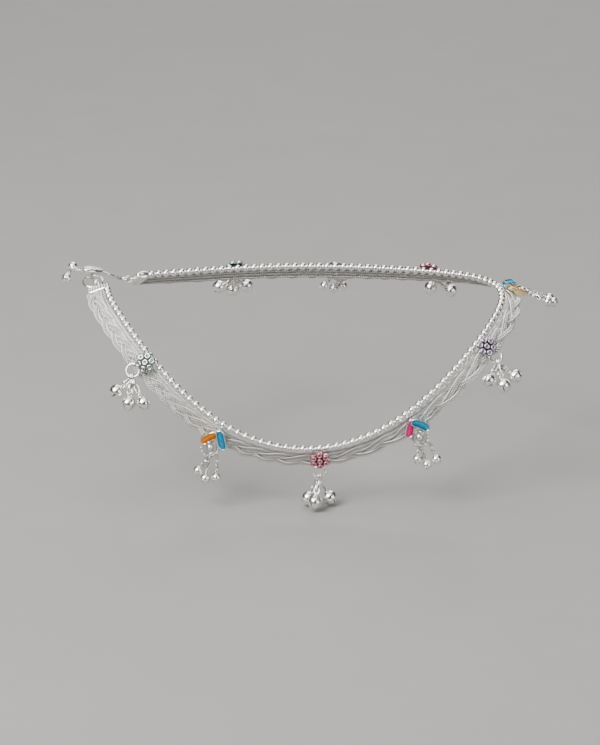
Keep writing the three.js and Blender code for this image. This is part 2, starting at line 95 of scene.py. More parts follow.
def loopPoint(travel):
    middle = (route["frontAngle"] + route["backAngle"]) / 2
    swing = (route["backAngle"] - route["frontAngle"]) / 2
    sine = math.sin(travel)
    degrees = middle - swing * math.cos(travel)
    degrees += (route["sideAngle"] - middle) * sine * sine + route["sideSkew"] * sine
    degrees += (route["quarterBend"] * sine + route["quarterSkew"]) * sine * (sine * sine - 1)
    angle = math.radians(degrees)
    x = route["shift"] + route["reach"] * sine
    radius = route["radius"] * math.sqrt(1 - (x / route["halfLength"]) ** 2) + beadLift
    return Vector((x, -radius * math.cos(angle), radius * math.sin(angle) - route["ridgeHeight"]))


def measureLoop():
    distances = [0.0]
    last = loopPoint(0)
    for i in range(1, route["steps"] + 1):
        point = loopPoint(fullTurn * i / route["steps"])
        distances.append(distances[-1] + (point - last).length)
        last = point
    return distances


loopDistances = measureLoop()
loopLength = loopDistances[-1]
beadCount = round((loopLength - route["claspLength"]) / strand["beadPitch"])
strandStart = route["centreShift"] - (route["firstFlower"] + route["flowerBeads"]) * strand["beadPitch"]
strandEnd = strandStart + beadCount * strand["beadPitch"]


def basis(x, y, z, origin):
    turn = Matrix((x, y, z)).transposed().to_4x4()
    return Matrix.Translation(origin) @ turn


# The bead line's point, and the directions along it, towards the beads' side and outwards.
def placeAt(distance):
    wrapped = distance % loopLength
    after = max(1, bisect_left(loopDistances, wrapped))
    low, high = loopDistances[after - 1], loopDistances[after]
    step = fullTurn / route["steps"]
    travel = step * (after - 1 + (wrapped - low) / (high - low))
    point = loopPoint(travel)
    along = (loopPoint(travel + step) - loopPoint(travel - step)).normalized()
    out = Vector((
        point.x / route["halfLength"] ** 2,
        point.y / route["radius"] ** 2,
        (point.z + route["ridgeHeight"]) / route["radius"] ** 2,
    ))
    out = (out - along * out.dot(along)).normalized()
    return point, along, out.cross(along), out


# Side, up and outward directions of a drop: it hangs straight down, or down the support.
def hangingAt(out):
    gravity = Vector((0, 0, -1))
    down = gravity.copy()
    if out.z > 0:
        down = (gravity - out * gravity.dot(out)).normalized()
    outward = (out - down * out.dot(down)).normalized()
    return outward.cross(down), -down, outward


# Small shapes that are placed many times

def keep(bm, name, smooth=True):
    bm.normal_update()
    bmesh.ops.recalc_face_normals(bm, faces=bm.faces[:])
    for face in bm.faces:
        face.smooth = smooth
    mesh = bpy.data.meshes.new(name)
    bm.to_mesh(mesh)
    bm.free()
    return mesh


def stamp(bm, mesh, matrix, paint=None):
    copy = mesh.copy()
    copy.transform(matrix)
    if paint is not None:
        copy.polygons.foreach_set("material_index", [paint] * len(copy.polygons))
    bm.from_mesh(copy)
    bpy.data.meshes.remove(copy)


# A wire ring round Z. Stretch draws it out along Y, and a sweep under a full turn leaves a gap.
def ringMesh(name, radius, wire, steps, sides, stretch=0.0, sweep=fullTurn):
    bm = bmesh.new()
    start = Matrix.Translation((radius, 0, 0)) @ Matrix.Rotation(math.pi / 2, 4, "X")
    bmesh.ops.create_circle(bm, segments=sides, radius=wire / 2, matrix=start)
    whole = sweep >= fullTurn
    bmesh.ops.spin(bm, geom=bm.verts[:] + bm.edges[:], cent=(0, 0, 0), axis=(0, 0, 1),
                   angle=sweep, steps=steps, use_merge=whole)
    bmesh.ops.remove_doubles(bm, verts=bm.verts[:], dist=wire / 100)
    if not whole:
        bmesh.ops.holes_fill(bm, edges=[e for e in bm.edges if e.is_boundary], sides=sides)
    for vert in bm.verts:
        if vert.co.y > wire / 100:
            vert.co.y += stretch / 2
        elif vert.co.y < -wire / 100:
            vert.co.y -= stretch / 2
    return keep(bm, name)


def ballMesh(name, radius, segments, rings):
    bm = bmesh.new()
    bmesh.ops.create_uvsphere(bm, u_segments=segments, v_segments=rings, radius=radius)
    return keep(bm, name)


# A rod along X, from the origin
def rodMesh(name, diameter, length, sides):
    bm = bmesh.new()
    lie = Matrix.Translation((length / 2, 0, 0)) @ Matrix.Rotation(math.pi / 2, 4, "Y")
    bmesh.ops.create_cone(bm, cap_ends=True, segments=sides, radius1=diameter / 2,
                          radius2=diameter / 2, depth=length, matrix=lie)
    return keep(bm, name)


def rodBetween(bm, start, end, diameter):
    axis = (end - start).normalized()
    side = axis.orthogonal().normalized()
    place = basis(axis, side, axis.cross(side), start)
    stamp(bm, rodMesh("rod", diameter, (end - start).length, 10), place)


# A flat shape is raised in steps: each step extrudes the top face and sets its corners anew
# from where they were on the unit circle.
def raiseSteps(segments, outline, steps):
    bm = bmesh.new()
    unit = bm.verts.layers.float_vector.new("unit")
    bmesh.ops.create_circle(bm, cap_ends=True, segments=segments, radius=1)
    top = bm.faces[:][0]
    if top.normal.z < 0:
        bmesh.ops.reverse_faces(bm, faces=[top])
    for vert in bm.verts:
        vert[unit] = vert.co
        vert.co = outline(vert.co, steps[0][0], steps[0][1])
    for index, (margin, height, paint) in enumerate(steps[1:]):
        before = set(bm.faces)
        grown = bmesh.ops.extrude_face_region(bm, geom=[top])
        for face in bm.faces:
            if face not in before:
                face.material_index = paint
        if index:
            bmesh.ops.delete(bm, geom=[top], context="FACES_ONLY")
        top = [g for g in grown["geom"] if isinstance(g, bmesh.types.BMFace)][0]
        for vert in top.verts:
            vert.co = outline(vert[unit], margin, height)
    return bm


# Mirrored shapes come in inside out, so the faces are turned outwards again. That goes by the
# faces' own directions, which a transform leaves as they were until they are updated.
def finishPiece(name, bm, materials, nodes=()):
    bm.normal_update()
    bmesh.ops.recalc_face_normals(bm, faces=bm.faces[:])
    bmesh.ops.scale(bm, vec=(0.001, 0.001, 0.001), verts=bm.verts[:])
    mesh = bpy.data.meshes.new(name)
    bm.to_mesh(mesh)
    bm.free()
    for material in materials:
        mesh.materials.append(material)
    piece = bpy.data.objects.new(name, mesh)
    bpy.context.scene.collection.objects.link(piece)
    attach(piece, "root")
    if nodes:
        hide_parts(*nodes)
    return piece


# Materials. Scales are per metre, and distances in metres.
finish = {
    "patchScale": 900.0,
    "cellScale": 2600.0,
    "bumpDepth": 0.00005,
    "enamelRoughness": 0.42,
    "enamelCoat": 0.12,
    "enamelSpecular": 0.3,
}


def newMaterial(name):
    material = bpy.data.materials.new(name)
    material.use_nodes = True
    tree = material.node_tree
    return material, tree, tree.nodes["Principled BSDF"]


def addNode(tree, kind, **values):
    node = tree.nodes.new(kind)
    for key, value in values.items():
        if hasattr(node, key):
            setattr(node, key, value)
        else:
            node.inputs[key.replace("_", " ")].default_value = value
    return node


# Painted shade: darkens a colour where the surface is hemmed in, and dulls it there.
def recessShadeGroup():
    group = bpy.data.node_groups.new("paintedRecessShade", "ShaderNodeTree")
    for name, kind, value in (
        ("Clean", "NodeSocketColor", (0.9, 0.9, 0.9, 1)),
        ("Dark", "NodeSocketColor", (0.1, 0.1, 0.1, 1)),
        ("Reach", "NodeSocketFloat", 0.0006),
        ("Strength", "NodeSocketFloat", 0.7),
        ("Roughness", "NodeSocketFloat", 0.15),
        ("Dullness", "NodeSocketFloat", 0.3),
        ("Grain", "NodeSocketFloat", finish["patchScale"]),
    ):
        socket = group.interface.new_socket(name, in_out="INPUT", socket_type=kind)
        socket.default_value = value
    group.interface.new_socket("Color", in_out="OUTPUT", socket_type="NodeSocketColor")
    group.interface.new_socket("Roughness", in_out="OUTPUT", socket_type="NodeSocketFloat")
    group.interface.new_socket("Height", in_out="OUTPUT", socket_type="NodeSocketFloat")
    links = group.links
    given = group.nodes.new("NodeGroupInput")
    result = group.nodes.new("NodeGroupOutput")
    place = addNode(group, "ShaderNodeTexCoord")
    # An occlusion test finds the hollows, and the painted shade goes where it finds them.
    hollow = addNode(group, "ShaderNodeAmbientOcclusion", samples=8)
    depth = addNode(group, "ShaderNodeMath", operation="SUBTRACT")
    amount = addNode(group, "ShaderNodeMath", operation="MULTIPLY", use_clamp=True)
    patch = addNode(group, "ShaderNodeTexNoise", Detail=3.0, Roughness=0.6)
    patchShadeAndRoughness = addNode(group, "ShaderNodeMath", operation="MULTIPLY_ADD")
    colour = addNode(group, "ShaderNodeMix", data_type="RGBA")
    dull = addNode(group, "ShaderNodeMath", operation="MULTIPLY_ADD", use_clamp=True)
    links.new(given.outputs["Reach"], hollow.inputs["Distance"])
    depth.inputs[0].default_value = 1.0
    links.new(hollow.outputs["AO"], depth.inputs[1])
    links.new(depth.outputs[0], amount.inputs[0])
    links.new(given.outputs["Strength"], amount.inputs[1])
    links.new(place.outputs["Object"], patch.inputs["Vector"])
    links.new(given.outputs["Grain"], patch.inputs["Scale"])
    links.new(patch.outputs["Fac"], patchShadeAndRoughness.inputs[0])
    patchShadeAndRoughness.inputs[1].default_value = 0.5
    patchShadeAndRoughness.inputs[2].default_value = 0.75
    # Patches vary the amount of painted shade, and the roughness.
    scaled = addNode(group, "ShaderNodeMath", operation="MULTIPLY", use_clamp=True)
    links.new(amount.outputs[0], scaled.inputs[0])
    links.new(patchShadeAndRoughness.outputs[0], scaled.inputs[1])
    links.new(scaled.outputs[0], colour.inputs["Factor"])
    links.new(given.outputs["Clean"], colour.inputs["A"])
    links.new(given.outputs["Dark"], colour.inputs["B"])
    links.new(scaled.outputs[0], dull.inputs[0])
    links.new(given.outputs["Dullness"], dull.inputs[1])
    spread = addNode(group, "ShaderNodeMath", operation="MULTIPLY")
    links.new(patchShadeAndRoughness.outputs[0], spread.inputs[0])
    links.new(given.outputs["Roughness"], spread.inputs[1])
    links.new(spread.outputs[0], dull.inputs[2])
    links.new(colour.outputs["Result"], result.inputs["Color"])
    links.new(dull.outputs[0], result.inputs["Roughness"])
    links.new(patch.outputs["Fac"], result.inputs["Height"])
    return group


paintedRecessShade = recessShadeGroup()


# A surface whose colour, darkened by painted shade in its hollows, and roughness come from the recess shade
# group. Its bump still needs a height.
def recessShadedSurface(name, bump, metallic, **values):
    material, tree, shader = newMaterial(name)
    group = addNode(tree, "ShaderNodeGroup", node_tree=paintedRecessShade)
    for key, value in values.items():
        group.inputs[key].default_value = value
    lift = addNode(tree, "ShaderNodeBump", Strength=bump, Distance=finish["bumpDepth"])
    tree.links.new(group.outputs["Color"], shader.inputs["Base Color"])
    tree.links.new(group.outputs["Roughness"], shader.inputs["Roughness"])
    tree.links.new(lift.outputs["Normal"], shader.inputs["Normal"])
    shader.inputs["Metallic"].default_value = metallic
    return material, tree, shader, group, lift


# A silver: its first colour is its own, and its second is the painted shade laid in its hollows.
def silverMaterial(name, unshaded, dark, reach, strength, roughness, dullness=0.3, bump=0.02):
    material, tree, shader, group, lift = recessShadedSurface(
        name, bump, 1.0, Clean=(*unshaded, 1), Dark=(*dark, 1), Reach=reach, Strength=strength,
        Roughness=roughness, Dullness=dullness, Grain=finish["patchScale"])
    tree.links.new(group.outputs["Height"], lift.inputs["Height"])
    return material


# Glassy colour over a granulated ground: lighter where it is thin, and darkened by painted shade in its
# hollows
def enamelMaterial(name, deep, light):
    material, tree, shader, group, lift = recessShadedSurface(
        name, 0.15, 0.0, Dark=(*[c * 0.18 for c in deep], 1), Reach=0.0005, Strength=0.8,
        Roughness=finish["enamelRoughness"], Dullness=0.1)
    place = addNode(tree, "ShaderNodeTexCoord")
    cells = addNode(tree, "ShaderNodeTexVoronoi", Scale=finish["cellScale"])
    ramp = addNode(tree, "ShaderNodeValToRGB")
    ramp.color_ramp.elements[0].position = 0.1
    ramp.color_ramp.elements[0].color = (*light, 1)
    ramp.color_ramp.elements[1].position = 0.6
    ramp.color_ramp.elements[1].color = (*deep, 1)
    tree.links.new(place.outputs["Object"], cells.inputs["Vector"])
    tree.links.new(cells.outputs["Distance"], ramp.inputs["Fac"])
    tree.links.new(ramp.outputs["Color"], group.inputs["Clean"])
    tree.links.new(cells.outputs["Distance"], lift.inputs["Height"])
    shader.inputs["Coat Weight"].default_value = finish["enamelCoat"]
    shader.inputs["Coat Roughness"].default_value = 0.12
    shader.inputs["Specular IOR Level"].default_value = finish["enamelSpecular"]
    return material


# The second colour of each silver below is its painted shade in hollows.
polished = silverMaterial("polishedSilver", (0.96, 0.945, 0.92), (0.08, 0.075, 0.07), 0.0008, 0.85, 0.2)
woven = silverMaterial("wovenSilver", (0.98, 0.965, 0.94), (0.05, 0.047, 0.043), 0.0004, 0.75, 0.4, 0.15)
cast = silverMaterial("castSilver", (0.92, 0.905, 0.88), (0.04, 0.037, 0.034), 0.0005, 1.3, 0.2, 0.4, 0.1)
capSilver = silverMaterial("capSilver", (0.98, 0.97, 0.95), (0.06, 0.056, 0.05), 0.0004, 1.1, 0.24,
                           bump=0.1)
# A dimmer silver for the cores inside the fine chains: painted shade for the chain's dark inside.
paintedShadeSilver = silverMaterial("paintedShadeSilver", (0.55, 0.535, 0.51), (0.02, 0.019, 0.018), 0.0006, 1.2, 0.4)
# Near black for the floors of the bells' slits: painted shade for the hollow seen through a slit.
paintedSlitShade = silverMaterial("paintedSlitShade", (0.04, 0.037, 0.034), (0.01, 0.01, 0.01), 0.0006, 1.0, 0.5)
wireSilver = silverMaterial("wireSilver", (0.94, 0.92, 0.89), (0.05, 0.047, 0.043), 0.0008, 1.0, 0.17)
print("materials made")


# The bead strand: round beads with a small ball between each two, on a pin

def buildBeads():
    template = bmesh.new()
    lie = Matrix.Rotation(math.pi / 2, 4, "Y")
    bmesh.ops.create_uvsphere(template, u_segments=strand["segments"], v_segments=strand["rings"],
                              radius=strand["beadDiameter"] * strand["swell"] / 2, matrix=lie)
    between = Matrix.Translation((strand["beadPitch"] / 2, 0, 0)) @ lie
    bmesh.ops.create_uvsphere(template, u_segments=12, v_segments=8,
                              radius=strand["linkDiameter"] / 2, matrix=between)
    pin = strand["pinDiameter"] / 2
    bmesh.ops.create_cone(template, cap_ends=True, segments=8, radius1=pin, radius2=pin,
                          depth=strand["beadPitch"] * strand["pinOverlap"], matrix=lie)
    bead = keep(template, "bead")
    bm = bmesh.new()
    for i in range(beadCount):
        point, along, up, out = placeAt(strandStart + (i + 0.5) * strand["beadPitch"])
        turn = Matrix.Rotation(dice.uniform(0, fullTurn), 4, "X")
        size = dice.uniform(1 - strand["unevenness"], 1 + strand["unevenness"])
        stamp(bm, bead, basis(along, up, out, point) @ turn @ Matrix.Scale(size, 4))
    return finishPiece("bead_string", bm, [polished], ["bead_strand"])


buildBeads()
print("beads strung")

# The band: fine chains that run straight, and three that are plaited over them
band = {
    "top": strand["beadDiameter"] / 2 + 0.3,
    "width": 4.3,
    "thickness": 1.3,
    "straight": [(0.5, 0.0), (1.6, -0.12), (2.8, -0.4)],   # down from the top, and outwards
    "plaited": 3,
    "plaitMiddle": 2.5,
    "plaitReach": 1.32,
    "plaitLift": 0.34,
    "plaitBase": 0.12,       # outwards, before the lift
    "period": 17.6,          # of one plaited chain, there and back
    "periodSwing": 0.3,
    "swingLength": 150.0,
    "swingStart": -38.0,
    "linkDiameter": 0.8,
    "linkWire": 0.25,
    "linkStretch": 0.3,
    "linkPitch": 0.5,
    "linkLean": 40,          # of the two rows of links against each other
    "linkTilt": 30,
    "leanJitter": 0.08,      # radians
    "rowShift": 0.27,
    "rowLift": 0.12,
    "core": 0.7,
    "coreLength": 1.25,      # against the pitch
    "coreStart": 0.62,
    "coreSink": 0.1,
}


def plaitPhase(distance):
    swing = math.sin(fullTurn * (distance - band["swingStart"]) / band["swingLength"])
    return (fullTurn * distance + band["periodSwing"] * swing * band["swingLength"]) / band["period"]


# A point of the band's face, down from the bead line and out from the band's middle
def chainPoint(distance, across, lift):
    point, along, up, out = placeAt(distance)
    away = band["thickness"] / 2 + route["restGap"] - beadLift
    return point - up * (band["top"] + across) + out * (away + lift), out


def plaitedPoint(distance, member):
    phase = plaitPhase(distance) + fullTurn * member / band["plaited"]
    across = band["plaitMiddle"] + band["plaitReach"] * math.sin(phase)
    return chainPoint(distance, across, band["plaitBase"] + band["plaitLift"] * math.sin(2 * phase))


# Two rows of small leaning links on a core, like plaited wheat. The core takes a dimmer silver, as painted
# shade for the dense chain's dark inside.
def buildChain(name, pointAt, nodes):
    radius = (band["linkDiameter"] - band["linkWire"]) / 2
    link = ringMesh("fineLink", radius, band["linkWire"], 8, 4, stretch=band["linkStretch"])
    steps = round((strandEnd - strandStart) / band["linkPitch"])
    pitch = (strandEnd - strandStart) / steps
    core = rodMesh("core", band["core"], pitch * band["coreLength"], 6)
    coreShift = Matrix.Translation((-pitch * band["coreStart"], 0, -band["coreSink"]))
    bm = bmesh.new()
    for i in range(steps):
        distance = strandStart + (i + 0.5) * pitch
        point, out = pointAt(distance)
        along = (pointAt(distance + 0.1)[0] - point).normalized()
        out = (out - along * out.dot(along)).normalized()
        place = basis(along, out.cross(along), out, point)
        # The core takes the dimmer silver: painted shade.
        stamp(bm, core, place @ coreShift, 1)
        for way in (-1, 1):
            jitter = dice.uniform(-band["leanJitter"], band["leanJitter"])
            lean = math.radians(way * band["linkLean"] - 90) + jitter
            tilt = Matrix.Rotation(way * math.radians(band["linkTilt"]), 4, "Y")
            shift = Matrix.Translation((way * pitch / 4, way * band["rowShift"], band["rowLift"]))
            stamp(bm, link, place @ shift @ Matrix.Rotation(lean, 4, "Z") @ tilt)
    return finishPiece(name, bm, [woven, paintedShadeSilver], nodes)


def buildBand():
    for index, (across, lift) in enumerate(band["straight"]):
        nodes = [] if index else ["woven_band"]
        buildChain("straight_chain_" + "abc"[index], lambda d: chainPoint(d, across, lift), nodes)
    for member in range(band["plaited"]):
        buildChain("plait_chain_" + "abc"[member], lambda d: plaitedPoint(d, member), [])


buildBand()
print("band plaited")

# Drops: jump rings, double links and hollow bells
largeBell = {"diameter": 3.65, "drop": 5.6, "wall": 0.1, "loop": 1.2, "loopWire": 0.36,
             "linkWidth": 1.35, "linkWire": 0.37, "linkPitch": 1.6, "linkGap": 0.4, "lastRing": 1.7}
smallBell = {"diameter": 2.45, "drop": 4.6, "wall": 0.08, "loop": 0.85, "loopWire": 0.24,
             "linkWidth": 1.05, "linkWire": 0.29, "linkPitch": 1.25, "linkGap": 0.31, "lastRing": 1.3}
bellForm = {
    "columns": 28,
    "rings": 20,
    "slits": 4,
    "slitFrom": 10,          # degrees from the bottom
    "slitTo": 78,
    "slitFloor": 0.84,       # of the radius
    "seam": 0.985,
    "spin": 25,
    "collar": 0.36,          # of the loop's width
    "loopSink": 0.6,         # of the loop's wire
}
hubForm = {"radius": 0.62, "wire": 1.15, "stretch": 0.5, "spread": 0.24, "drop": 0.775}
chainTurns = {"first": 20, "step": 35, "link": 78, "last": -40}   # degrees
# Each bell: name, sideways in bell pitches, down as a share of the kind's drop, forward in pitches.
# Starts are where a chain leaves the charm, when that isn't its lowest point.
drops = {
    "middle": {"flower": 2.25, "ring": 4.5, "ringSide": -0.5,
               "bells": [("left", -0.69, 1.04, 0), ("mid", -0.31, 0.97, 0.88), ("right", 0.69, 1.01, 0)]},
    "left": {"flower": 1.6, "ring": 3.9, "ringSide": -0.9,
             "bells": [("left", -0.89, 0.73, 0), ("mid", 0.01, 1.21, 0), ("right", 1.02, 1.12, 0)]},
    "right": {"flower": 2.3, "ring": 3.4, "ringSide": 0,
              "bells": [("left", -0.87, 0.75, 0), ("mid", 0.04, 1.1, 0), ("right", 0.99, 0.76, 0)]},
    "leftCharm": {"bells": [("left", -1.14, 0.84, 0), ("mid", -0.49, 1.3, 0), ("right", 0.54, 1.21, 0)],
                  "starts": {"right": (1.9, 1.3)}},
    "rightCharm": {"bells": [("left", -0.18, 0.72, 0), ("mid", 0.72, 1.08, 0), ("right", 1.62, 0.79, 0)],
                   "starts": {"right": (2.3, 1.7)}},
}


# A round bell with four slits below its seam: shallow pockets whose floors are painted near black, as
# painted shade for the hollow inside. Its top is +Y.
def bellMesh(kind, name):
    radius = kind["diameter"] / 2
    bm = bmesh.new()
    stand = Matrix.Rotation(-math.pi / 2, 4, "X")
    bmesh.ops.create_uvsphere(bm, u_segments=bellForm["columns"], v_segments=bellForm["rings"],
                              radius=radius, matrix=stand)
    columns = bellForm["columns"]
    spacing = columns // bellForm["slits"]
    slits = []
    for face in bm.faces:
        middle = face.calc_center_median()
        polar = math.degrees(math.acos(max(-1, min(1, -middle.y / middle.length))))
        column = int((math.atan2(middle.z, middle.x) % fullTurn) / fullTurn * columns)
        if column % spacing == spacing // 2 and bellForm["slitFrom"] < polar < bellForm["slitTo"]:
            slits.append(face)
    grown = bmesh.ops.extrude_face_region(bm, geom=slits)
    floors = [g for g in grown["geom"] if isinstance(g, bmesh.types.BMFace)]
    bmesh.ops.delete(bm, geom=[f for f in slits if f.is_valid], context="FACES_ONLY")
    for vert in {v for f in floors for v in f.verts}:
        vert.co *= bellForm["slitFloor"]
    bmesh.ops.recalc_face_normals(bm, faces=bm.faces[:])
    # The slits' floors take the near black: painted shade.
    for face in floors:
        face.material_index = 1
    shell = keep(bm, name + "Shell")
    whole = bmesh.new()
    stamp(whole, shell, Matrix.Identity(4))
    flat = Matrix.Rotation(math.pi / 2, 4, "X")
    seam = ringMesh("seam", radius * bellForm["seam"], kind["wall"], 32, 6)
    stamp(whole, seam, flat)
    collar = ringMesh("collar", kind["loop"] * bellForm["collar"], kind["loopWire"], 12, 6)
    stamp(whole, collar, Matrix.Translation((0, radius * 0.98, 0)) @ flat)
    loop = ringMesh("loop", (kind["loop"] - kind["loopWire"]) / 2, kind["loopWire"], 16, 6)
    loopY = radius + kind["loop"] / 2 - kind["loopWire"] * bellForm["loopSink"]
    stamp(whole, loop, Matrix.Translation((0, loopY, 0)))
    return keep(whole, name)


bells = {"large": bellMesh(largeBell, "largeBell"), "small": bellMesh(smallBell, "smallBell")}


# Double links from start to end, each turned against the one before, and a round ring at the end
def chainBetween(bm, start, end, kind, side, twist):
    run = end - start
    down = run.normalized()
    across = (side - down * side.dot(down)).normalized()
    face = across.cross(down)
    wire = kind["linkWire"]
    last = ringMesh("lastRing", (kind["lastRing"] - wire) / 2, wire * 1.1, 20, 8)
    turn = Matrix.Rotation(math.radians(twist + chainTurns["last"]), 4, "Y")
    lastMiddle = end - down * (kind["lastRing"] / 2 - wire)
    stamp(bm, last, basis(across, down, face, lastMiddle) @ turn)
    length = max(run.length - kind["lastRing"] + wire * 2.5, kind["linkPitch"] * 0.7)
    count = max(1, round(length / kind["linkPitch"]))
    pitch = length / count
    radius = (kind["linkWidth"] - wire) / 2
    link = ringMesh("link", radius, wire, 16, 6, stretch=max(0, pitch + wire * 1.7 - 2 * radius))
    for i in range(count):
        turn = Matrix.Rotation(math.radians(twist + chainTurns["link"] * i), 4, "Y")
        middle = start + down * pitch * (i + 0.5)
        for shift in (-0.5, 0.5):
            spread = Matrix.Translation((0, 0, shift * kind["linkGap"]))
            stamp(bm, link, basis(across, down, face, middle) @ turn @ spread)


def hangBell(name, spot, links, start, centre, axis, side, size, twist):
    kind = largeBell if size == "large" else smallBell
    sideways = (side - axis * side.dot(axis)).normalized()
    bm = bmesh.new()
    spin = Matrix.Rotation(math.radians(dice.uniform(-bellForm["spin"], bellForm["spin"])), 4, "Y")
    stamp(bm, bells[size], basis(sideways, axis, sideways.cross(axis), centre) @ spin)
    finishPiece(name + "_ghungroo_" + spot, bm, [polished, paintedSlitShade], [name + "_bell_" + spot])
    reach = kind["diameter"] / 2 + kind["loop"] - kind["loopWire"] * 1.5
    chainBetween(links, start, centre + axis * reach, kind, side, twist)


def buildDrop(name, anchor, hanging, drop, size, hub=0.0):
    side, up, out = hanging
    starts = drop.get("starts", {})
    kind = largeBell if size == "large" else smallBell
    pitch = kind["diameter"] + route["clearance"]
    links = bmesh.new()
    for index, (spot, across, down, forward) in enumerate(drop["bells"]):
        centre = anchor + side * (across * pitch) - up * (down * kind["drop"]) + out * (forward * pitch)
        right, lift = starts.get(spot, (across * 0.4, -hub))
        start = anchor + side * right + up * lift
        axis = (start - centre).normalized()
        twist = chainTurns["first"] + chainTurns["step"] * index
        hangBell(name, spot, links, start, centre, axis, side, size, twist)
    if hub:
        eye = ringMesh("hub", hubForm["radius"], kind["linkWire"] * hubForm["wire"], 20, 8,
                       stretch=hubForm["stretch"])
        for shift in (-hubForm["spread"], hubForm["spread"]):
            stamp(links, eye, basis(out, up, out.cross(up), anchor + side * shift))
    finishPiece(name + "_chain", links, [wireSilver], [name + "_links"])


# Flower medallions: seven raised rings on a lobed enamel ground
flower = {
    "thickness": 0.8,
    "ringDiameter": 1.5,
    "ringWire": 0.46,
    "ringReach": 1.76,
    "lobeRadius": 0.94,
    "jumpDiameter": 3.4,
    "jumpWire": 0.55,
    "jumpGap": 24,           # degrees
    "jumpTurn": 40,
    "jumpSwell": 1.08,
    "raise": 0.55,           # of the thickness
    "edge": 0.08,
    "dotRadius": 0.19,
    "dotSink": 0.06,
    "cupLean": 0.2,          # radians
    "cupLift": 0.26,
    "middleLift": 0.4,
}
bandFace = band["thickness"] + route["restGap"] - beadLift
ringOut = bandFace + route["clearance"] + flower["jumpWire"] / 2
flowerOut = max(ringOut + flower["jumpWire"] / 2, strand["beadDiameter"] / 2) + route["clearance"]


# The outline that six round lobes make, at an angle
def lobedReach(angle, turned, margin):
    off = (angle - turned + math.pi / 6) % (math.pi / 3) - math.pi / 6
    reach, radius = flower["ringReach"], flower["lobeRadius"] - margin
    inner = max(0, radius ** 2 - (reach * math.sin(off)) ** 2)
    return max(reach * math.cos(off) + math.sqrt(inner), reach * 0.9)


def buildFlower(number, distance, ground, rims, drop, turned):
    name = "flower_" + str(number)
    point, along, up, out = placeAt(distance)
    seat = basis(along, up, out, point - up * drop["flower"] + out * flowerOut)
    turn = math.radians(turned)
    hexagon = [Vector((0, 0, 0))]
    for i in range(6):
        angle = turn + math.radians(60 * i)
        hexagon.append(Vector((math.cos(angle), math.sin(angle), 0)) * flower["ringReach"])

    def outline(unit, margin, height):
        angle = math.atan2(unit.y, unit.x)
        reach = lobedReach(angle, turn, margin)
        return Vector((reach * math.cos(angle), reach * math.sin(angle), height))

    tall = flower["thickness"] * flower["raise"]
    edge = flower["edge"]
    base = raiseSteps(96, outline, [(edge, 0, 1), (0, 0.1, 1), (0, tall, 1), (edge, tall + edge, 1),
                                    (edge + 0.05, tall + 0.02, 0)])
    for face in base.faces:
        face.smooth = False
    base.transform(seat)
    finishPiece(name + "_ground", base, [ground, rims], [name])

    cups = bmesh.new()
    cup = ringMesh("cup", (flower["ringDiameter"] - flower["ringWire"]) / 2, flower["ringWire"], 24, 10)
    dot = ballMesh("dot", flower["dotRadius"], 10, 6)
    sink = Matrix.Translation((0, 0, -flower["dotSink"]))
    for spot in hexagon:
        lean = Vector((-spot.y, spot.x, 0))
        tip = Matrix.Rotation(flower["cupLean"], 4, lean) if spot.length else Matrix.Identity(4)
        lift = tall + (flower["cupLift"] if spot.length else flower["middleLift"])
        local = Matrix.Translation(spot + Vector((0, 0, lift))) @ tip
        stamp(cups, cup, seat @ local)
        stamp(cups, dot, seat @ local @ sink)
    finishPiece(name + "_cups", cups, [rims], ())

    hanging = hangingAt(out)
    down = -hanging[1]
    down = (down - out * down.dot(out)).normalized()
    middle = point + along * drop["ringSide"] - up * (drop["flower"] + drop["ring"]) + out * ringOut
    gap = math.radians(flower["jumpGap"])
    jump = ringMesh("jump", flower["jumpDiameter"] / 2, flower["jumpWire"] * flower["jumpSwell"], 44, 10,
                    sweep=fullTurn - gap)
    turnedGap = Matrix.Rotation(math.radians(flower["jumpTurn"]), 4, "Z")
    ring = bmesh.new()
    stamp(ring, jump, basis(-down.cross(out), -down, out, middle) @ turnedGap)
    finishPiece(name + "_jump", ring, [wireSilver], [name + "_ring"])
    anchor = middle + down * flower["jumpDiameter"] / 2
    buildDrop(name, anchor, hanging, drop, "large", hub=hubForm["drop"])


# Paisley charms: two ribbed enamel arms from one corner, and a domed teardrop.
# An arm's angle is taken from the run of the band, towards the drop, halfway along the arm.
charm = {
    "drop": 1.75,
    "thickness": 0.9,
    "armThickness": 1.2,
    "rim": 0.26,
    "sink": 0.3,
    "ribDiameter": 0.2,
    "tearReach": 5.1,
    "tearAngle": 80,
    "tearRadius": 2.4,
    "tearPoint": 0.32,
    "granule": 0.52,
    "bigGranule": 0.84,
    "ridgeDiameter": 0.19,
    "ridgeLength": 0.62,
    "edgeSteps": 40,
    "granuleSector": (62, 172),
    "ridgeSector": (-176, -48),
    "granuleSeat": (0.93, 0.76),   # share of the way to the edge, and height
    "ridgeSeat": (0.76, 0.86),
    "ribMargin": 0.08,             # of the arm's length
    "eyeRadius": 0.62,
    "eyeWire": 0.3,
    "eyeDrop": 2.4,          # from the teardrop's middle
    "eyeLift": 0.45,
}
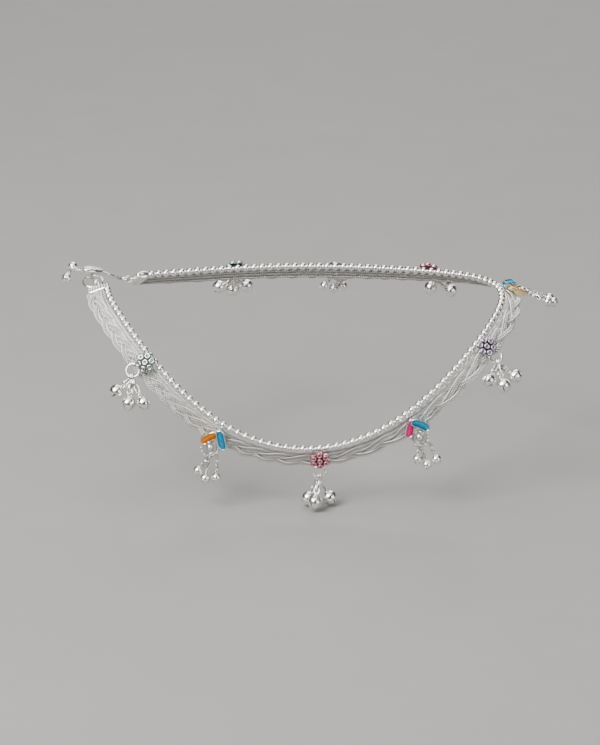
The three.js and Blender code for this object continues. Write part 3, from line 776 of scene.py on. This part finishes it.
charmStyles = {
    "leftCharm": {
        "outer": {"start": 1.25, "angle": 114, "length": 4.9, "width": 2.15, "bend": 0.09, "leaf": 0,
                  "ribs": 13, "shift": (0.8, 0.5), "raised": 0},
        "inner": {"start": -0.95, "angle": 46, "length": 5.6, "width": 2.2, "bend": 0.03, "leaf": 0,
                  "ribs": 16, "shift": (0.8, 0.1), "raised": 0.3},
    },
    "rightCharm": {
        "outer": {"start": -0.5, "angle": 118, "length": 5.4, "width": 2.15, "bend": 0.16, "leaf": 0,
                  "ribs": 20, "shift": (0.1, -0.4), "raised": 0.35},
        "inner": {"start": -0.2, "angle": 46, "length": 5.1, "width": 2.2, "bend": 0.05, "leaf": 1,
                  "ribs": 14, "shift": (-0.1, 0.45), "raised": 0},
    },
}
charmOut = bandFace + route["clearance"]


# A point of an arm at a distance along it and across it, and its heading there
def armPlace(arm, run, across):
    chord = math.radians(arm["angle"])
    bend = arm["bend"]
    first = chord + bend * arm["length"] / 2
    x = arm["start"] * math.cos(chord) + (math.sin(first) - math.sin(first - bend * run)) / bend
    y = -arm["start"] * math.sin(chord) - (math.cos(first - bend * run) - math.cos(first)) / bend
    heading = first - bend * run
    x += arm["shift"][0] + across * math.sin(heading)
    y += arm["shift"][1] + across * math.cos(heading)
    return Vector((x, y, 0)), heading


# Half the width of an arm at a share of its length: rounded ends, or a leaf that is narrow at its start
def armHalf(arm, share):
    rounded = (1 - min(1, abs(2 * share - 1)) ** 5) ** 0.42
    leaf = min(1, (share + 0.25) * 1.6) ** 0.7 if arm["leaf"] else 1
    return arm["width"] / 2 * rounded * leaf


def buildArm(bm, arm, mirror, paints):
    def outline(unit, margin, height):
        share = (math.copysign(abs(unit.x) ** 0.5, unit.x) + 1) / 2
        half = max(0.02, armHalf(arm, share) - margin)
        run = margin + share * (arm["length"] - 2 * margin)
        across = math.copysign(half, unit.y) if abs(unit.y) > 0.001 else 0
        return armPlace(arm, run, across)[0] + Vector((0, 0, height))

    thick, rim, sink = charm["armThickness"] + arm["raised"], charm["rim"], charm["sink"]
    rimPaint, groundPaint, ribPaint = paints
    part = raiseSteps(56, outline, [(0.06, 0, rimPaint), (0, 0.1, rimPaint), (0, thick - 0.08, rimPaint),
                                    (0.07, thick, rimPaint), (rim - 0.05, thick, rimPaint),
                                    (rim, thick - 0.06, rimPaint), (rim + 0.03, thick - sink, groundPaint)])
    flip = Matrix.Scale(mirror, 4, (1, 0, 0))
    stamp(bm, keep(part, "arm", smooth=False), flip)
    for i in range(arm["ribs"]):
        share = charm["ribMargin"] + (1 - 2 * charm["ribMargin"]) * (i + 0.5) / arm["ribs"]
        half = armHalf(arm, share) - rim
        middle, heading = armPlace(arm, share * arm["length"], -half)
        rib = rodMesh("rib", charm["ribDiameter"], 2 * half, 6)
        height = thick - sink + charm["ribDiameter"] * 0.3
        spot = Matrix.Translation(middle + Vector((0, 0, height)))
        stamp(bm, rib, flip @ spot @ Matrix.Rotation(math.pi / 2 - heading, 4, "Z"), ribPaint)


def buildTeardrop(bm, place, mirror):
    radius = charm["tearRadius"]

    def outline(unit, margin, height):
        tip = max(0, unit.x) ** 5 * charm["tearPoint"] + max(0, -unit.x) ** 7 * 0.1
        share = 1 - margin / radius
        return Vector((unit.x, unit.y, 0)) * radius * share * (1 + tip * share) + Vector((0, 0, height))

    body = raiseSteps(48, outline, [(0.08, 0, 0), (0, 0.12, 0), (0, 0.7, 0), (0.1, 0.82, 0), (0.5, 0.84, 0),
                                    (0.58, 0.66, 0), (0.7, 0.66, 0), (0.8, 0.88, 0), (0.94, 0.92, 0),
                                    (1.04, 0.72, 0), (1.12, 0.7, 0), (1.2, 0.84, 0), (1.36, 0.86, 0),
                                    (1.46, 0.7, 0), (1.54, 0.7, 0), (1.64, 0.98, 0), (1.8, 1.18, 0),
                                    (2.0, 1.32, 0), (2.2, 1.38, 0)])
    stamp(bm, keep(body, "teardrop"), place)
    big = ballMesh("bigGranule", charm["bigGranule"] / 2, 14, 9)
    spot = Matrix.Translation((radius * 0.62, mirror * radius * 0.34, 0.98))
    stamp(bm, big, place @ spot)
    granule = ballMesh("granule", charm["granule"] / 2, 10, 7)
    ridge = rodMesh("ridge", charm["ridgeDiameter"], charm["ridgeLength"], 6)
    granuleFrom, granuleTo = charm["granuleSector"]
    ridgeFrom, ridgeTo = charm["ridgeSector"]
    for i in range(charm["edgeSteps"]):
        angle = fullTurn * (i + 0.5) / charm["edgeSteps"]
        where = math.degrees(angle if angle < math.pi else angle - fullTurn) * mirror
        edge = outline(Vector((math.cos(angle), math.sin(angle), 0)), 0, 0)
        if granuleFrom < where < granuleTo and i % 3 == 0:
            share, height = charm["granuleSeat"]
            stamp(bm, granule, place @ Matrix.Translation(edge * share + Vector((0, 0, height))))
        elif ridgeFrom < where < ridgeTo:
            share, height = charm["ridgeSeat"]
            facing = Matrix.Rotation(angle, 4, "Z")
            stamp(bm, ridge, place @ Matrix.Translation(edge * share + Vector((0, 0, height))) @ facing)


def buildCharm(number, distance, mirror, outer, inner):
    name = "paisley_" + str(number)
    style = "leftCharm" if mirror > 0 else "rightCharm"
    point, along, up, out = placeAt(distance)
    seat = basis(along, up, out, point - up * charm["drop"] + out * charmOut)
    bm = bmesh.new()
    buildArm(bm, charmStyles[style]["outer"], mirror, (1, 2, 3))
    buildArm(bm, charmStyles[style]["inner"], mirror, (4, 5, 6))
    angle = math.radians(charm["tearAngle"] if mirror > 0 else 180 - charm["tearAngle"])
    centre = Vector((math.cos(angle), -math.sin(angle), 0)) * charm["tearReach"]
    place = Matrix.Translation(centre) @ Matrix.Rotation(math.pi - angle, 4, "Z")
    buildTeardrop(bm, place, mirror)
    eye = ringMesh("lowEye", charm["eyeRadius"], charm["eyeWire"], 18, 6)
    bm.transform(seat)
    hanging = hangingAt(out)
    fall = hanging[1] * (charm["eyeDrop"] + route["clearance"])
    anchor = seat @ centre + out * (charm["thickness"] / 2) - fall
    stamp(bm, eye, basis(*hanging, anchor + hanging[1] * charm["eyeLift"]), 0)
    finishPiece(name + "_charm", bm, [cast, *outer, *inner], [name])
    buildDrop(name, anchor, hanging, drops[style], "small")


enamels = {
    "green": enamelMaterial("enamelGreen", (0.004, 0.02, 0.017), (0.02, 0.07, 0.055)),
    "crimson": enamelMaterial("enamelCrimson", (0.07, 0.003, 0.012), (0.3, 0.03, 0.07)),
    "violet": enamelMaterial("enamelViolet", (0.012, 0.005, 0.018), (0.06, 0.03, 0.08)),
}
# Each tinted silver's second colour is the painted shade laid in its hollows.
tinted = {
    "green": silverMaterial("rimsGreen", (0.62, 0.70, 0.67), (0.02, 0.05, 0.045), 0.0006, 1.4, 0.2),
    "crimson": silverMaterial("rimsCrimson", (0.8, 0.36, 0.43), (0.12, 0.01, 0.03), 0.0006, 1.3, 0.2),
    "violet": silverMaterial("rimsViolet", (0.62, 0.56, 0.66), (0.04, 0.02, 0.05), 0.0006, 1.4, 0.2),
}


# The rim's second colour, a fifth of its own, is painted shade in its hollows. Each enamel gets its painted
# shade in enamelMaterial.
def armPaints(name, rim, deep, light):
    return (
        silverMaterial(name + "Rim", rim, tuple(c * 0.2 for c in rim), 0.0005, 0.9, 0.22),
        enamelMaterial(name + "Ground", deep, tuple(min(1, c * 1.6) for c in deep)),
        enamelMaterial(name + "Ribs", light, tuple(min(1, c * 1.5) for c in light)),
    )


armColours = {
    "blue": armPaints("blueArm", (0.55, 0.8, 0.85), (0.0, 0.09, 0.19), (0.0, 0.24, 0.42)),
    "orange": armPaints("orangeArm", (0.96, 0.74, 0.4), (0.3, 0.035, 0.004), (0.8, 0.24, 0.01)),
    "magenta": armPaints("magentaArm", (0.9, 0.6, 0.72), (0.4, 0.0, 0.09), (0.7, 0.02, 0.2)),
}


def buildStations():
    flowers = {
        1: ("green", "left", "enamel_green", 0),
        2: ("crimson", "middle", "enamel_crimson", 30),
        3: ("violet", "right", "enamel_violet", 0),
        4: ("crimson", "middle", "enamel_crimson", 30),
        5: ("green", "right", "enamel_green", 0),
    }
    charms = {1: ("orange", "blue"), 2: ("blue", "magenta"), 3: ("orange", "blue"), 4: ("blue", "magenta")}
    count = int((beadCount - route["firstFlower"]) / route["flowerBeads"]) + 1
    for number in range(1, count + 1):
        beads = route["firstFlower"] + (number - 1) * route["flowerBeads"]
        distance = strandStart + beads * strand["beadPitch"]
        colour, drop, slotName, turned = flowers[number]
        buildFlower(number, distance, enamels[colour], tinted[colour], drops[drop], turned)
        if number < count:
            outer, inner = charms[number]
            distance += route["charmBeads"] * strand["beadPitch"]
            buildCharm(number, distance, 1 if number % 2 else -1, armColours[outer], armColours[inner])
        print("flower", number, "made")


buildStations()

# The clasp: fluted end caps, a ring, a hammered plate with a hook, an open link and two small bells
clasp = {
    "capLength": 2.8,
    "capThickness": 1.9,
    "capOverlap": 0.9,       # over the band's end
    "capBevel": 0.45,
    "scallop": 0.35,         # half the depth of the band's scallops
    "flutes": 8,
    "eyeDiameter": 1.7,
    "eyeWire": 0.44,
    "eyeNeck": 0.8,
    "neckWire": 0.66,
    "sway": 0.9,
    "rise": 0.6,
    "ringDiameter": 4.9,
    "ringWire": 0.7,
    "ballDiameter": 1.5,
    "ballShift": 1.2,
    "ballLift": 0.3,
    "plateLength": 6.4,
    "plateWidth": 3.8,
    "plateLift": 1.4,
    "plateLean": 0.42,
    "plateDome": 0.97,
    "plateFall": 0.55,       # of the dimples' height towards the rim
    "dimples": 85,
    "dimpleRadius": 0.2,
    "dimpleTurn": 2.39996,   # the golden angle, in radians
    "hookDiameter": 2.6,
    "hookWire": 0.6,
    "hookSweep": 320,        # degrees
    "hookTurn": 200,
    "linkLength": 3.6,
    "linkWidth": 2.0,
    "linkWire": 0.5,
    "tieRadius": 0.62,
    "tieWire": 0.3,
    "tieShift": (0.35, 0, -0.1),   # from the open link's end
    "tieTurn": 1.2,                # radians
    # each bell from the open link's middle: towards the hook, across and outwards
    "bells": [("left", (-4.1, -1.2, -3.0)), ("right", (3.6, 5.8, 2.2))],
}


def buildCap(name, distance, direction):
    point, along, up, out = placeAt(distance + direction * route["clearance"])
    x = along * direction
    origin = point + out * (clasp["capThickness"] / 2 + route["restGap"] - beadLift)
    frameHere = basis(x, up, out * direction, origin)
    top = strand["beadDiameter"] / 4
    bottom = clasp["scallop"] - band["top"] - band["width"]
    middle, half = (top + bottom) / 2, (top - bottom) / 2
    length, thick = clasp["capLength"], clasp["capThickness"]
    bm = bmesh.new()
    reach = length + clasp["capOverlap"]
    start = -clasp["capOverlap"]
    size = Matrix.Diagonal((reach, 2 * half * 0.98, thick * 0.8, 1))
    bmesh.ops.create_cube(bm, size=1, matrix=Matrix.Translation((start + reach / 2, middle, 0)) @ size)
    bmesh.ops.bevel(bm, geom=bm.edges[:], offset=clasp["capBevel"], segments=4, profile=0.5,
                    affect="EDGES", material=-1)
    step = 2 * half / clasp["flutes"]
    flute = ballMesh("flute", 1, 16, 12)
    for i in range(clasp["flutes"]):
        share = (i + 0.5) / clasp["flutes"] * 2 - 1
        swell = math.sqrt(1 - (share * 0.45) ** 2)
        shape = Matrix.Diagonal((reach * 0.54 * swell, step * 0.62, thick * 0.6 * swell, 1))
        spread = Matrix.Rotation(share * -0.12, 4, "Z")
        seat = Matrix.Translation((start + reach / 2, middle + share * half, 0))
        stamp(bm, flute, seat @ spread @ shape)
    neckEnd = Vector((length + clasp["eyeNeck"], middle, 0))
    rodBetween(bm, Vector((length * 0.7, middle, 0)), neckEnd, clasp["neckWire"])
    eyeX = length + clasp["eyeNeck"] + (clasp["eyeDiameter"] - clasp["eyeWire"]) / 2
    eye = ringMesh("capEye", clasp["eyeDiameter"] / 2, clasp["eyeWire"], 24, 8)
    stamp(bm, eye, Matrix.Translation((eyeX, middle, 0)) @ Matrix.Rotation(math.pi / 2, 4, "X"))
    bm.transform(frameHere)
    for face in bm.faces:
        face.smooth = True
    finishPiece(name + "_fluted", bm, [capSilver], [name])
    return {"eye": frameHere @ Vector((eyeX, middle, 0)), "x": x, "up": up, "out": out}


def buildPlate(place, span):
    halfLength, halfWidth = clasp["plateLength"] / 2, clasp["plateWidth"] / 2

    def outline(unit, margin, height):
        point = Vector((unit.x * (halfLength - margin), unit.y * (halfWidth - margin * 0.8), 0))
        return point + Vector((0, 0, clasp["plateLift"] + height))

    bm = bmesh.new()
    body = raiseSteps(48, outline, [(0.45, -0.45, 0), (0.06, -0.24, 0), (0, 0.0, 0), (0.1, 0.26, 0),
                                    (0.4, 0.56, 0), (0.9, 0.8, 0), (1.5, 0.93, 0),
                                    (1.85, clasp["plateDome"], 0)])
    centre = Matrix.Translation((0, 0, clasp["plateLift"]))
    lean = centre @ Matrix.Rotation(clasp["plateLean"], 4, "X") @ centre.inverted()
    stamp(bm, keep(body, "plate"), lean)
    dimple = ballMesh("dimple", clasp["dimpleRadius"], 8, 6)
    squash = Matrix.Diagonal((1, 1, 0.7, 1))
    for i in range(clasp["dimples"]):
        reach = math.sqrt((i + 0.5) / clasp["dimples"]) * 0.9
        angle = i * clasp["dimpleTurn"]
        spot = Vector((halfLength * reach * math.cos(angle), halfWidth * reach * math.sin(angle), 0))
        height = clasp["plateLift"] + clasp["plateDome"] - clasp["plateFall"] * reach ** 2.4
        stamp(bm, dimple, lean @ Matrix.Translation(spot + Vector((0, 0, height))) @ squash, 1)
    eye = ringMesh("plateEye", clasp["eyeDiameter"] / 2, clasp["eyeWire"], 24, 8)
    stamp(bm, eye, Matrix.Rotation(math.pi / 2, 4, "Y"))
    hookMiddle = span - clasp["hookDiameter"] / 2
    hook = ringMesh("hook", clasp["hookDiameter"] / 2, clasp["hookWire"], 28, 8,
                    sweep=math.radians(clasp["hookSweep"]))
    hookTurn = Matrix.Rotation(math.radians(clasp["hookTurn"]), 4, "Z")
    stamp(bm, hook, Matrix.Translation((hookMiddle, 0, 0)) @ hookTurn)
    start = Vector((halfLength - 0.6, 0, clasp["plateLift"]))
    rodBetween(bm, start, Vector((hookMiddle - clasp["hookDiameter"] / 2, 0, 0)), clasp["hookWire"])
    bm.transform(place)
    finishPiece("clasp_hammered_plate", bm, [wireSilver, capSilver], ["clasp_plate"])


def buildClasp():
    first = buildCap("end_cap_a", strandStart, -1)
    second = buildCap("end_cap_b", strandEnd, 1)
    outward = (first["x"] - first["up"] * clasp["sway"] + first["out"] * clasp["rise"]).normalized()
    ringMiddle = first["eye"] + outward * clasp["ringDiameter"] / 2
    ringSide = first["out"].cross(outward).normalized()
    ringNormal = outward.cross(ringSide)
    ring = bmesh.new()
    wire = ringMesh("claspRing", clasp["ringDiameter"] / 2, clasp["ringWire"], 56, 12)
    stamp(ring, wire, basis(outward, ringSide, ringNormal, ringMiddle))
    ball = ballMesh("ball", clasp["ballDiameter"] / 2, 20, 14)
    ballMiddle = ringMiddle - outward * clasp["ballShift"] + ringNormal * clasp["ballLift"]
    stamp(ring, ball, Matrix.Translation(ballMiddle))
    finishPiece("clasp_round_ring", ring, [wireSilver], ["clasp_ring"])

    away = (first["x"] - ringNormal * first["x"].dot(ringNormal)).normalized()
    near = ringMiddle + away * clasp["ringDiameter"] / 2
    x = (second["eye"] - near).normalized()
    out = first["out"] + second["out"]
    out = (out - x * out.dot(x)).normalized()
    across = out.cross(x)
    buildPlate(basis(x, across, out, near), (second["eye"] - near).length)

    linkX = -(clasp["plateLength"] + clasp["linkLength"] + clasp["linkWire"]) / 2 - route["clearance"]
    place = basis(x, across, out, near + x * linkX + out * clasp["plateLift"])
    links = bmesh.new()
    stretch = clasp["linkLength"] - clasp["linkWidth"]
    link = ringMesh("openLink", clasp["linkWidth"] / 2, clasp["linkWire"] * 0.9, 32, 8, stretch=stretch)
    stamp(links, link, place @ Matrix.Rotation(math.pi / 2, 4, "Z"))
    small = ringMesh("tieLink", clasp["tieRadius"], clasp["tieWire"], 20, 8)
    tie = Matrix.Translation(Vector((clasp["linkLength"] / 2, 0, 0)) + Vector(clasp["tieShift"]))
    stamp(links, small, place @ tie @ Matrix.Rotation(clasp["tieTurn"], 4, "X"))
    rims = {
        "left": Vector((-clasp["linkLength"] / 2, 0, 0)),
        "right": Vector((0, clasp["linkWidth"] / 2, 0)),
    }
    for index, (spot, offset) in enumerate(clasp["bells"]):
        centre, rim = place @ Vector(offset), place @ rims[spot]
        axis = (rim - centre).normalized()
        side = axis.cross(out).normalized()
        hangBell("clasp", spot, links, rim, centre, axis, side, "small", 30 * index)
    finishPiece("clasp_open_link", links, [wireSilver], ["clasp_links"])


buildClasp()
print("clasp made")

# The camera, floor and light
look = {
    "target": Vector((0, 0, -0.0223)),
    "distance": 1.0,
    "elevation": 22,
    "lens": 185.85,
    "sensor": 36,
    "floorSize": 3,
    "floorGap": 0.0004,
}


def buildStudio():
    scene = bpy.context.scene
    camera = bpy.data.objects.new("camera", bpy.data.cameras.new("camera"))
    scene.collection.objects.link(camera)
    tilt = math.radians(look["elevation"])
    back = Vector((0, -math.cos(tilt), math.sin(tilt)))
    camera.location = look["target"] + back * look["distance"]
    camera.rotation_euler = (-back).to_track_quat("-Z", "Y").to_euler()
    camera.data.lens = look["lens"]
    camera.data.sensor_width = look["sensor"]
    camera.data.clip_start = 0.01
    scene.camera = camera

    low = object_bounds()[0].z
    bm = bmesh.new()
    bmesh.ops.create_grid(bm, x_segments=1, y_segments=1, size=look["floorSize"])
    bmesh.ops.translate(bm, verts=bm.verts[:], vec=(0, 0, low - look["floorGap"]))
    mesh = bpy.data.meshes.new("floor")
    bm.to_mesh(mesh)
    bm.free()
    material, tree, shader = newMaterial("floorPaper")
    grain = addNode(tree, "ShaderNodeTexNoise", Scale=60.0, Detail=4.0)
    place = addNode(tree, "ShaderNodeTexCoord")
    ramp = addNode(tree, "ShaderNodeValToRGB")
    ramp.color_ramp.elements[0].color = (0.215, 0.209, 0.201, 1)
    ramp.color_ramp.elements[1].color = (0.235, 0.228, 0.22, 1)
    tree.links.new(place.outputs["Object"], grain.inputs["Vector"])
    tree.links.new(grain.outputs["Fac"], ramp.inputs["Fac"])
    tree.links.new(ramp.outputs["Color"], shader.inputs["Base Color"])
    shader.inputs["Roughness"].default_value = 0.8
    mesh.materials.append(material)
    floor = bpy.data.objects.new("floor", mesh)
    scene.collection.objects.link(floor)

    world = bpy.data.worlds.new("studio")
    world.use_nodes = True
    world.node_tree.nodes["Background"].inputs["Color"].default_value = (0.62, 0.61, 0.6, 1)
    world.node_tree.nodes["Background"].inputs["Strength"].default_value = 0.12
    scene.world = world
    lights = (
        ("keySoftbox", (-0.42, -0.42, 0.55), 0.5, 15.0, (1.0, 0.985, 0.96)),
        ("fillSoftbox", (0.6, -0.5, 0.25), 0.5, 2.5, (0.95, 0.97, 1.0)),
        ("backSoftbox", (0.1, 0.65, 0.5), 0.5, 4.0, (1.0, 1.0, 1.0)),
        ("topSoftbox", (-0.1, -0.1, 0.8), 0.9, 7.0, (1.0, 0.99, 0.97)),
    )
    for name, spot, size, power, colour in lights:
        lamp = bpy.data.lights.new(name, "AREA")
        lamp.shape = "SQUARE"
        lamp.size = size
        lamp.energy = power
        lamp.color = colour
        holder = bpy.data.objects.new(name, lamp)
        holder.location = spot
        aim = look["target"] - Vector(spot)
        holder.rotation_euler = aim.to_track_quat("-Z", "Y").to_euler()
        scene.collection.objects.link(holder)


buildStudio()
print("studio set")
